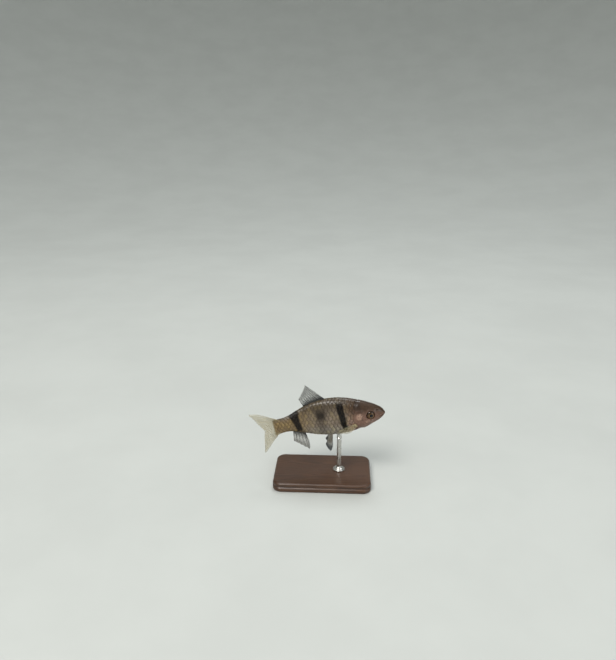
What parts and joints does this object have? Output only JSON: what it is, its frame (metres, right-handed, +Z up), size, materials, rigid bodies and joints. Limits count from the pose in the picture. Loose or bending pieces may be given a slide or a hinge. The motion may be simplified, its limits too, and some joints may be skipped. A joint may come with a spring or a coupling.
{
  "type": "black ruby barb display model",
  "caption": "Still life-size model of a black ruby barb, nose up with its tail swept to its right, held at the belly by a rod on a flat base.",
  "frame": {"origin": "middle of the underside of the stand's base, on the surface that it stands on", "axes": "+X towards the fish's head, +Y towards its left side, +Z up; the picture shows the side at -Y"},
  "size_m": [0.0586, 0.027, 0.0438],
  "materials": {
    "flesh": "scaled skin, olive brown above, with black bars, under a wet gloss",
    "stem_flesh": "scaled skin, golden brown, under a wet gloss",
    "face": "smooth skin, rosy brown, with a pale sheen on the gill covers",
    "clear_web": "thin yellowish web between fine rays",
    "dark_web": "thin smoky web between fine rays",
    "eyeball": "black pupil in a brown-gold iris under a clear cornea",
    "wood": "dark stained hardwood, satin",
    "steel": "turned and brushed"
  },
  "bodies": {
    "root": {"head": "face", "trunk": "flesh", "tail_stem": "stem_flesh", "gill_cover_left": "face", "gill_cover_right": "face", "eye_left": "eyeball", "eye_right": "eyeball", "dorsal_fin": "dark_web", "anal_fin": "clear_web", "tail_fin_upper": "clear_web", "tail_fin_lower": "clear_web", "pectoral_fin_left": "clear_web", "pectoral_fin_right": "clear_web", "pelvic_fin_left": "dark_web", "pelvic_fin_right": "dark_web", "stand_base": "wood", "stand_rod": "steel"}
  },
  "joints": []
}
